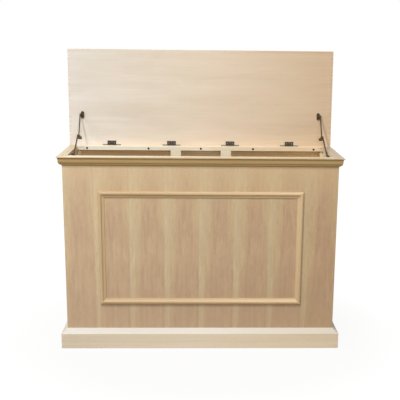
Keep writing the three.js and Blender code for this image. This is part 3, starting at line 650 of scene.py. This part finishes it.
# Metal, paint or plastic: mottled, a little scratched, brighter along its arrises
def hardFinish(name, look):
    finish = Finish(name)
    place = finish.place()
    mottle = finish.noise(place, **hardLook["mottle"])
    if "brushed" in look:
        scale = drawnOut(look["brushed"], *hardLook["brush"])
    else:
        scale = (look["grain"],) * 3
    grain = finish.noise(place, scale, roughness=hardLook["grainRoughness"])
    mask = mottle.between(*hardLook["mottleFrom"])
    finish.colour = finish.blend(mask, look["colour"], look["other"])
    scratch = finish.noise(place, **hardLook["scratch"])
    marks = scratch.between(*hardLook["scratchFrom"]) * hardLook["scratchShare"]
    bare = marks.maths("MAXIMUM", finish.worn() * hardLook["wear"])
    finish.lay(bare, look["bright"])
    rough = look["rough"] + (mottle - 0.5) * hardLook["roughMottle"]
    rough = rough + (grain - 0.5) * hardLook["roughGrain"] - bare * hardLook["bareGloss"]
    finish.set({"Base Color": finish.colour, "Roughness": rough, "Metallic": look["metal"],
                "Specular IOR Level": look["gloss"]})
    finish.bump(grain, hardLook)
    return finish.material


print("shader tools ready")

# Look, axis of the grain, and where in the pattern the wood is cut
solidWoods = {
    "mouldingX": (mouldingLook, 0), "mouldingZ": (mouldingLook, 2, 0.8),
    "crownX": (crownLook, 0, 0.1), "crownY": (crownSideLook, 1, 0.5),
    "plinthX": (plinthLook, 0, 0.2), "plinthY": (plinthSideLook, 1, 0.6),
    "paleX": (paleLook, 0, 1.7), "paleZ": (postLook, 2, 1.9), "innerX": (innerLook, 0, 2.3),
    "railX": (backRailLook, 0, 2.5), "backZ": (backLook, 2, 2.7),
}
finishes = {
    "veneerFront": leafVeneer("veneerFront", veneerLook, 0),
    "veneerSide": leafVeneer("veneerSide", sideVeneerLook, 1, 0.9),
    "lidWood": cloudedBoard("lidWood", lidLook),
}
for name, choice in solidWoods.items():
    finishes[name] = solidWood(name, *choice)
for name, look in fittingLooks.items():
    finishes[name] = hardFinish(name, look)
print("finishes made:", len(finishes))


# Shaping
# Angles between faces are in radians
shaping = {
    "sharpFrom": 0.6,      # an edge from here on is rounded
    "smoothTo": 0.62,      # an edge up to here shades smoothly
    "flatWithin": 0.01,    # triangles within this make one face
    "mergeWithin": 0.01,   # mm
}


def keptMesh(name, bm):
    mesh = bpy.data.meshes.new(name)
    bm.to_mesh(mesh)
    bm.free()
    return mesh


def newPiece(name, bm, finish, body, replaced=()):
    piece = bpy.data.objects.new(name, keptMesh(name, bm))
    piece.data.materials.append(finishes[finish])
    scene.collection.objects.link(piece)
    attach(piece, body)
    if replaced:
        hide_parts(*replaced)


# Rounds edges and gives back the new faces
def roundEdges(bm, edges, width, segments=3):
    made = bmesh.ops.bevel(
        bm, geom=edges, offset=width, offset_type="OFFSET", segments=segments, profile=0.5,
        affect="EDGES", clamp_overlap=True, material=-1,
    )
    return set(made["faces"])


def sharpEdges(bm, limit=shaping["sharpFrom"]):
    return [e for e in bm.edges if len(e.link_faces) == 2 and e.calc_face_angle(0) > limit]


# Marks the rounded faces as worn, and shades them smoothly up to their borders
def shadeSmooth(bm, rounded):
    worn = bm.loops.layers.float.new("worn")
    for face in bm.faces:
        face.smooth = True
        for corner in face.loops:
            corner[worn] = 1.0 if face in rounded else 0.0
    for edge in bm.edges:
        faces = edge.link_faces
        if len(faces) == 2:
            border = (faces[0] in rounded) != (faces[1] in rounded)
            edge.smooth = not border and edge.calc_face_angle(0) < shaping["smoothTo"]


# A CAD node with its arrises rounded, as a board is sanded or a plate is tumbled
def softened(node, width, finish, segments=3):
    bm = bmesh.new()
    bm.from_mesh(nodes[node].data)
    bmesh.ops.remove_doubles(bm, verts=bm.verts, dist=shaping["mergeWithin"] * mm)
    bmesh.ops.dissolve_limit(
        bm, angle_limit=shaping["flatWithin"], verts=bm.verts, edges=bm.edges,
    )
    rounded = roundEdges(bm, sharpEdges(bm), width, segments)
    shadeSmooth(bm, rounded)
    newPiece(node + "_shaped", bm, finish, nodes[node]["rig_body"], [node])


# Each node's finish, slot and width of its arrises in millimetres
boards = {
    "front_panel": ("veneerFront", "veneer", 0.6), "side_panel_left": ("veneerSide", "veneer", 0.6),
    "side_panel_right": ("veneerSide", "veneer", 0.6), "floor_panel": ("innerX", "inner_wood", 0.8),
    "front_rail": ("paleX", "inner_wood", 1.0), "back_board_left": ("backZ", "back_board", 0.8),
    "back_board_right": ("backZ", "back_board", 0.8), "back_hatch": ("backZ", "back_board", 0.8),
    "post_left": ("paleZ", "pale_wood", 1.2), "post_right": ("paleZ", "pale_wood", 1.2),
    "corner_post_left": ("paleZ", "pale_wood", 1.0), "corner_post_right": ("paleZ", "pale_wood", 1.0),
    "back_top_rail": ("railX", "inner_wood", 0.6), "hinge_rail": ("paleX", "pale_wood", 0.8),
    "lid_panel": ("lidWood", "pale_wood", 0.8),
    "crown_front": ("crownX", "moulding", 0.35), "crown_left": ("crownY", "moulding", 0.35),
    "crown_right": ("crownY", "moulding", 0.35), "plinth_front": ("plinthX", "moulding", 1.0),
    "plinth_left": ("plinthY", "moulding", 1.0), "plinth_right": ("plinthY", "moulding", 1.0),
    "frame_top": ("mouldingX", "moulding", 0.5), "frame_bottom": ("mouldingX", "moulding", 0.5),
    "frame_left": ("mouldingZ", "moulding", 0.5), "frame_right": ("mouldingZ", "moulding", 0.5),
}
for node, (finish, slot, width) in boards.items():
    softened(node, width * mm, finish)
print("boards shaped:", len(boards))

ironwork = {
    "lift_column": ("columnBlack", "black_column", 1.5),
    "lift_wall_bracket": ("blackCoat", "black_steel", 0.8),
    "lift_carriage": ("tube", "bare_tube", 1.0), "lift_mast": ("tube", "bare_tube", 1.0),
    "lift_head": ("tube", "bare_tube", 1.0), "screen_crossbar": ("blackCoat", "black_steel", 1.2),
    "screen_arm_left": ("blackCoat", "black_steel", 1.0),
    "screen_arm_right": ("blackCoat", "black_steel", 1.0),
    "lift_drive": ("plastic", "black_plastic", 2.5), "control_box": ("plastic", "black_plastic", 3.0),
}
for number in range(1, 5):
    # The rail leaves take the hinge steel painted lighter, as a painted reflection
    ironwork[f"hinge_rail_leaf_{number}"] = ("wingSteel", "hinge_steel", 0.4)
    ironwork[f"hinge_lid_leaf_{number}"] = ("hingeSteel", "hinge_steel", 0.4)
    ironwork[f"hinge_pin_{number}"] = ("boltSteel", "dark_steel", 0.4)
for number in range(1, 6):
    ironwork[f"rail_screw_{number}"] = ("boltSteel", "dark_steel", 0.5)
for side in ("left", "right"):
    for name in ("upper_arm", "lower_arm", "side_bracket", "lid_bracket"):
        ironwork[f"stay_{name}_{side}"] = ("bronze", "bronze_steel", 0.3)
for node, (finish, slot, width) in ironwork.items():
    softened(node, width * mm, finish, 2)
print("ironwork shaped:", len(ironwork))


# Fasteners
# Radius, height and washer in millimetres; dome and socket are shares of the radius
fasteners = {
    "leafScrew": {"radius": 3.1, "height": 0.2, "dome": 0.0, "socket": 0.62, "recess": "cross"},
    "panScrew": {"radius": 3.6, "height": 1.0, "dome": 0.24, "socket": 0.6, "recess": "cross"},
    "smallScrew": {"radius": 2.2, "height": 0.5, "dome": 0.16, "socket": 0.62, "recess": "cross"},
    "socketBolt": {"radius": 5.2, "height": 5.0, "dome": 0.08, "socket": 0.58, "recess": "hex",
                   "washer": 8.2, "washerHeight": 1.2},
}
# What every head shares, as shares of its radius, its dome or the recess's reach
headShape = {"sides": 24, "rounding": 0.12, "rimDome": 0.6, "innerDome": 0.4, "taper": 0.04,
             "recessDepth": 0.35, "crossMean": 0.54, "crossSwing": 0.46, "hexFlat": 0.87}
discShape = {"sides": 28, "rounding": 0.3}
rivetSize = {"radius": 4.6, "height": 1.9, "skirt": 5.8, "skirtHeight": 0.7, "sides": 24, "rings": 12}
# Dark discs round the rail screws' heads are painted shade: a dark ring for the shade round each head
railShadeDisc = {"radius": 4.9, "height": 0.6}


# Radius of the recess's mouth towards an angle, as a share of its full reach
def mouth(recess, angle):
    if recess == "cross":
        return headShape["crossMean"] + headShape["crossSwing"] * math.cos(4 * angle)
    return headShape["hexFlat"] / math.cos((angle + math.pi / 6) % (math.pi / 3) - math.pi / 6)


# A flat round disc standing on the origin with its upper rim rounded
def addDisc(bm, radius, height):
    disc = bmesh.ops.create_cone(
        bm, cap_ends=True, segments=discShape["sides"], radius1=radius * mm, radius2=radius * mm,
        depth=height * mm, matrix=Matrix.Translation((0, 0, height * mm / 2)),
    )["verts"]
    above = [v for v in disc if v.co.z > height * mm / 2]
    edges = [e for e in bm.edges if e.verts[0] in above and e.verts[1] in above]
    roundEdges(bm, edges, height * mm * discShape["rounding"], 2)


def fastenerShape(kind):
    size = {**headShape, **fasteners[kind]}
    radius = size["radius"] * mm
    bm = bmesh.new()
    bmesh.ops.create_circle(bm, cap_ends=True, segments=size["sides"], radius=radius)
    grown = bmesh.ops.extrude_face_region(bm, geom=list(bm.faces))["geom"]
    top = [g for g in grown if isinstance(g, bmesh.types.BMFace)]
    rising = [g for g in grown if isinstance(g, bmesh.types.BMVert)]
    bmesh.ops.translate(bm, verts=rising, vec=(0, 0, size["height"] * mm))
    bmesh.ops.recalc_face_normals(bm, faces=bm.faces)
    dome = size["dome"] * radius
    bmesh.ops.inset_individual(
        bm, faces=top, thickness=size["rounding"] * radius, depth=dome * size["rimDome"],
    )
    span = (1 - size["rounding"] - size["socket"]) * radius
    bmesh.ops.inset_individual(bm, faces=top, thickness=span, depth=dome * size["innerDome"])
    for vert in top[0].verts:
        angle = math.atan2(vert.co.y, vert.co.x)
        reach = size["socket"] * radius * mouth(size["recess"], angle)
        vert.co.x, vert.co.y = reach * math.cos(angle), reach * math.sin(angle)
    bmesh.ops.inset_individual(
        bm, faces=top, thickness=size["taper"] * radius, depth=-size["recessDepth"] * radius,
    )
    if "washer" in size:
        bmesh.ops.translate(bm, verts=bm.verts, vec=(0, 0, size["washerHeight"] * mm))
        addDisc(bm, size["washer"], size["washerHeight"])
    return keptMesh(kind, bm)


# The upper half of a flattened ball on a thin skirt
def rivetShape(size):
    bm = bmesh.new()
    bmesh.ops.create_uvsphere(
        bm, u_segments=size["sides"], v_segments=size["rings"], radius=size["radius"] * mm,
    )
    geometry = list(bm.verts) + list(bm.edges) + list(bm.faces)
    bmesh.ops.bisect_plane(bm, geom=geometry, dist=1e-7, plane_co=(0, 0, 0), plane_no=(0, 0, 1),
                           clear_inner=True)
    bmesh.ops.holes_fill(bm, edges=[e for e in bm.edges if e.is_boundary])
    bmesh.ops.scale(bm, verts=bm.verts, vec=(1, 1, size["height"] / size["radius"]))
    bmesh.ops.translate(bm, verts=bm.verts, vec=(0, 0, size["skirtHeight"] * mm))
    addDisc(bm, size["skirt"], size["skirtHeight"])
    bmesh.ops.recalc_face_normals(bm, faces=bm.faces)
    return keptMesh("rivet", bm)


def shadeDiscShape(size):
    bm = bmesh.new()
    addDisc(bm, size["radius"], size["height"])
    return keptMesh("railShadeDisc", bm)


fastenerShapes = {kind: fastenerShape(kind) for kind in fasteners}
fastenerShapes["rivet"] = rivetShape(rivetSize)
fastenerShapes["railShadeDisc"] = shadeDiscShape(railShadeDisc)


# Where a fastener stands: its place, the way its head faces, and its turn in degrees
def facing(place, outwards, spin=0.0):
    turn = Vector(outwards).to_track_quat("Z", "Y").to_matrix().to_4x4()
    return Matrix.Translation(place) @ turn @ Matrix.Rotation(math.radians(spin), 4, "Z")


# A group of like fasteners as one piece. Each place: across, depth and height in millimetres,
# and the turn of the head. The whole group may then be swung, as on the lid.
def fasten(name, kind, places, outwards, finish, body="cabinet",
           swing=Matrix.Identity(4)):
    bm = bmesh.new()
    for x, y, z, spin in places:
        before = len(bm.verts)
        bm.from_mesh(fastenerShapes[kind])
        bm.verts.ensure_lookup_table()
        stand = swing @ facing(at(x, y, z), outwards, spin)
        bmesh.ops.transform(bm, matrix=stand, verts=bm.verts[before:])
    for face in bm.faces:
        face.smooth = True
    for edge in bm.edges:
        edge.smooth = edge.calc_face_angle(0) < shaping["sharpFrom"]
    newPiece(name, bm, finish, body)


upwards, downwards, forwards, backwards = (0, 0, 1), (0, 0, -1), (0, -1, 0), (0, 1, 0)
sides = {"left": -1, "right": 1}
hinges = {
    "places": [-431.5, -142.6, 142.6, 431.5], "axisDepth": 451.3, "axisAbove": 0.15,
    "openBy": -93,   # degrees from shut
}
# Brackets: across, depths of the screws and height from the rim. Rivets: the piece that each one
# holds, across, depth, height above the rim and metal.
stays = {
    "lidBracket": (569.7, (297, 317), -4.5), "sideBracket": (589.2, (204, 232), -26.5),
    "rivets": [
        ("upper_arm", 573.2, 378.9, 52, "brass"),
        ("lower_arm", 583.7, 218.1, -22, "bronze"),
        ("lid_bracket", 572.7, 451, 144.6, "bronze"),
    ],
}
railScrews = {"places": [-546.5, -251.9, 0, 251.9, 546.5], "drop": 9, "spin": 3,
              "recesses": ("smallScrew", 402.4), "washers": ("railShadeDisc", 404.7)}


# Turns what is drawn on the shut lid to where the lid stands open
def lidOpening(size):
    axis = at(0, size["axisDepth"], rim + size["axisAbove"])
    turn = Matrix.Rotation(math.radians(size["openBy"]), 4, "X")
    return Matrix.Translation(axis) @ turn @ Matrix.Translation(-axis)


lidTurn = lidOpening(hinges)
# Each screw: along the leaf, depth, and height from the rim. Spin: from screw to screw, and from
# hinge to hinge.
hingeLeaves = {
    "lid": {"screws": [(-13, 439.5, 0.3), (0, 434.5, 0.3), (13, 439.5, 0.3)], "spin": (17, 9),
            "faces": downwards, "metal": "wingSteel", "body": "lid", "swing": lidTurn},
    "rail": {"screws": [(-34, backFace, -14), (-12, backFace, -20), (12, backFace, -20),
                        (34, backFace, -14)],
             "spin": (31, 7), "faces": backwards, "metal": "zinc", "body": "cabinet",
             "swing": Matrix.Identity(4)},
}


def hingeScrews():
    for number, x in enumerate(hinges["places"], 1):
        for name, leaf in hingeLeaves.items():
            step, start = leaf["spin"]
            places = [(x + dx, y, rim + dz, step * i + start * number)
                      for i, (dx, y, dz) in enumerate(leaf["screws"])]
            fasten(f"hinge_{name}_screws_{number}", "leafScrew", places, leaf["faces"],
                   leaf["metal"], leaf["body"], leaf["swing"])


def stayFixings():
    for side, sign in sides.items():
        x, depths, height = stays["lidBracket"]
        places = [(sign * x, y, rim + height, y) for y in depths]
        fasten(f"lid_bracket_screws_{side}", "smallScrew", places, downwards, "bronze",
               "lid", lidTurn)
        x, depths, height = stays["sideBracket"]
        places = [(sign * x, y, rim + height, y) for y in depths]
        fasten(f"side_bracket_screws_{side}", "smallScrew", places, (-sign, 0, 0), "bronze")
        for name, x, y, height, metal in stays["rivets"]:
            body = nodes[f"stay_{name}_{side}"]["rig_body"]
            fasten(f"stay_rivet_{name}_{side}", "rivet", [(sign * x, y, rim + height, 0)],
                   (-sign, 0, 0), metal, body)


# The rail screws' recesses, and dark discs round their heads as painted shade
def railFixings():
    for name in ("recesses", "washers"):
        kind, depth = railScrews[name]
        height = rim - railScrews["drop"]
        places = [(x, depth, height, railScrews["spin"] * x) for x in railScrews["places"]]
        fasten(f"rail_screw_{name}", kind, places, forwards, "boltSteel")


backFixings = {
    "boardX": (134, 579), "boardZ": (110, 230, 350, 470, 590, 710, 775),
    "footX": (215, 305, 395, 485), "footZ": 61,
    "hatchX": 107, "hatchZ": (95, 265, 435, 605, 770), "spin": 1.7,
}


def backScrews():
    size = backFixings
    board = [(x, z) for x in size["boardX"] for z in size["boardZ"]]
    board += [(x, size["footZ"]) for x in size["footX"]]
    for side, sign in sides.items():
        places = [(sign * x, backFace, z, size["spin"] * x + z) for x, z in board]
        fasten(f"back_screws_{side}", "panScrew", places, backwards, "boltSteel")
    columns = [sign * size["hatchX"] for sign in sides.values()]
    places = [(x, backFace, z, x + z) for x in columns for z in size["hatchZ"]]
    fasten("hatch_screws", "panScrew", places, backwards, "zinc")


# Kind, body, the way the heads face, and the places
liftFixings = {
    "foot_bolts": (
        "socketBolt", "cabinet", upwards,
        [(-75, 322, 74.3, -75), (75, 322, 74.3, 75), (0, 318, 74.3, 0), (-75, 385, 74.3, -75)],
    ),
    "wall_bracket_bolts": (
        "socketBolt", "cabinet", forwards,
        [(x, 400, rim - drop, drop) for x in (-128, 128) for drop in (131, 161)],
    ),
    "neck_bolts": (
        "socketBolt", "head", forwards,
        [(x, 317.4, rim - drop, x + drop) for x in (-18, 18) for drop in (90, 120)],
    ),
    "arm_bolts": ("socketBolt", "head", backwards, [(x, 325.4, rim - 105, x) for x in (-176, 176)]),
    "control_box_screws": (
        "smallScrew", "cabinet", forwards,
        [(x, 394.7, z, x + z) for x in (262, 398) for z in (312, 388)],
    ),
    "drive_screws": (
        "smallScrew", "cabinet", upwards, [(80.3, 377.7, 254.6, -13), (106.3, 359.7, 254.6, 13)],
    ),
}


def liftBolts():
    for name, (kind, body, outwards, places) in liftFixings.items():
        fasten(name, kind, places, outwards, "zinc", body=body)


# A plastic lining lies round the cable slot of the back hatch
slotLining = {"width": 80.6, "height": 50.6, "border": 8.5, "corner": 15, "cornerSegments": 8,
              "thickness": 1.8, "middle": 125, "rounding": 0.6, "sharpFrom": 1.0}


def cableLining(size):
    bm = bmesh.new()
    half = Vector((size["width"] / 2 + size["border"], size["height"] / 2 + size["border"], 1)) * mm
    bmesh.ops.create_grid(bm, x_segments=1, y_segments=1, size=1)
    bmesh.ops.scale(bm, verts=bm.verts, vec=half)
    bmesh.ops.bevel(bm, geom=list(bm.verts), offset=size["corner"] * mm, offset_type="OFFSET",
                    segments=size["cornerSegments"], profile=0.5, affect="VERTICES", material=-1)
    hole = list(bm.faces)
    bmesh.ops.inset_region(bm, faces=hole, thickness=size["border"] * mm, use_boundary=True,
                           use_even_offset=True)
    bmesh.ops.delete(bm, geom=hole, context="FACES")
    bmesh.ops.recalc_face_normals(bm, faces=bm.faces)
    bmesh.ops.solidify(bm, geom=list(bm.faces), thickness=size["thickness"] * mm)
    bmesh.ops.recalc_face_normals(bm, faces=bm.faces)
    low = min(v.co.z for v in bm.verts)
    bmesh.ops.translate(bm, verts=bm.verts, vec=(0, 0, -low))
    rounded = roundEdges(bm, sharpEdges(bm, size["sharpFrom"]), size["rounding"] * mm)
    stand = facing(at(0, backFace, size["middle"]), backwards)
    bmesh.ops.transform(bm, matrix=stand, verts=bm.verts)
    shadeSmooth(bm, rounded)
    newPiece("cable_slot_lining", bm, "plastic", "cabinet")


hingeScrews()
stayFixings()
railFixings()
backScrews()
liftBolts()
cableLining(slotLining)
print("fasteners set")


# Studio
# Without gloss a lamp lights the cabinet and isn't mirrored in it
lamps = {
    "keyLamp": {"place": (-2.6, -4.3, 5.0), "aim": (0.0, 0.0, 0.8), "size": 0.5, "watts": 197,
                "colour": (1.0, 0.99, 0.97)},
    "topLamp": {"place": (-0.5, -3.4, 5.9), "aim": (0.0, 0.0, 0.6), "size": 0.9, "watts": 162,
                "colour": (1.0, 0.99, 0.97)},
    "sideLamp": {"place": (-2.3, -0.3, 2.3), "aim": (0.0, 0.0, 0.9), "size": 1.2, "watts": 35,
                 "colour": (0.78, 0.9, 1.0)},
    "backLamp": {"place": (-1.2, 4.6, 3.1), "aim": (0.0, 0.4, 0.6), "size": 2.2, "watts": 120,
                 "colour": (1.0, 0.98, 0.95), "gloss": False},
    "fillLamp": {"place": (0.6, -4.3, 1.8), "aim": (0.1, 0.0, 0.8), "size": 1.6, "watts": 42,
                 "colour": (1.0, 0.93, 0.82)},
}
white = (1, 1, 1)
worldLook = {"colour": white, "asSeen": 1.0, "asLight": 0.1}
# Near the cabinet a share of the floor's own shading stays in view, and so does the shadow
floorLook = {"colour": (0.34, 0.31, 0.26), "rough": 0.9, "glow": 1.04, "nearGlow": 0.9,
             "farGlow": 0.1, "fade": (0.65, 1.3), "radius": 16, "sides": 64, "below": 0.3}


def makeLamps():
    for name, lamp in lamps.items():
        light = bpy.data.lights.new(name, "AREA")
        light.shape = "DISK"
        light.size = lamp["size"]
        light.energy = lamp["watts"]
        light.color = lamp["colour"]
        holder = bpy.data.objects.new(name, light)
        aim = Vector(lamp["aim"]) - Vector(lamp["place"])
        turn = aim.to_track_quat("-Z", "Y").to_matrix().to_4x4()
        holder.matrix_world = Matrix.Translation(lamp["place"]) @ turn
        holder.visible_glossy = lamp.get("gloss", True)
        scene.collection.objects.link(holder)


# White where the camera, gloss or glass sees it, and a soft grey as a light
def makeWorld(look):
    world = bpy.data.worlds.new("studio")
    world.use_nodes = True
    graph = Graph(world.node_tree)
    light = graph.tree.nodes["Background"]
    graph.feed(light.inputs["Color"], look["colour"])
    graph.feed(light.inputs["Strength"], look["asLight"])
    sockets = {"Color": look["colour"], "Strength": look["asSeen"]}
    backdrop = graph.node("ShaderNodeBackground", {}, sockets)
    sockets = {0: graph.seen(), 1: Wire(graph, light.outputs[0]), 2: backdrop}
    chosen = graph.node("ShaderNodeMixShader", {}, sockets)
    graph.feed(graph.tree.nodes["World Output"].inputs["Surface"], chosen)
    scene.world = world


# A pale floor: in view it is nearly the white of the background, with a faint shadow
def makeFloor(look):
    finish = Finish("floorWhite")
    finish.set({"Base Color": look["colour"], "Roughness": look["rough"]})
    glow = finish.node("ShaderNodeEmission", {}, {"Color": white, "Strength": look["glow"]})
    x, y, z = finish.parts(finish.place())
    away = (x * x + y * y).maths("SQRT").between(*look["fade"])
    whitened = finish.seen() * (look["nearGlow"] + away * look["farGlow"])
    sockets = {0: whitened, 1: Wire(finish, finish.shader.outputs[0]), 2: glow}
    chosen = finish.node("ShaderNodeMixShader", {}, sockets)
    finish.feed(finish.tree.nodes["Material Output"].inputs["Surface"], chosen)
    bm = bmesh.new()
    bmesh.ops.create_circle(bm, cap_ends=True, segments=look["sides"], radius=look["radius"])
    bmesh.ops.translate(bm, verts=bm.verts, vec=(0, 0, -look["below"] * mm))
    floor = bpy.data.objects.new("floor", keptMesh("floor", bm))
    floor.data.materials.append(finish.material)
    scene.collection.objects.link(floor)


makeLamps()
makeWorld(worldLook)
makeFloor(floorLook)
print("studio lit")
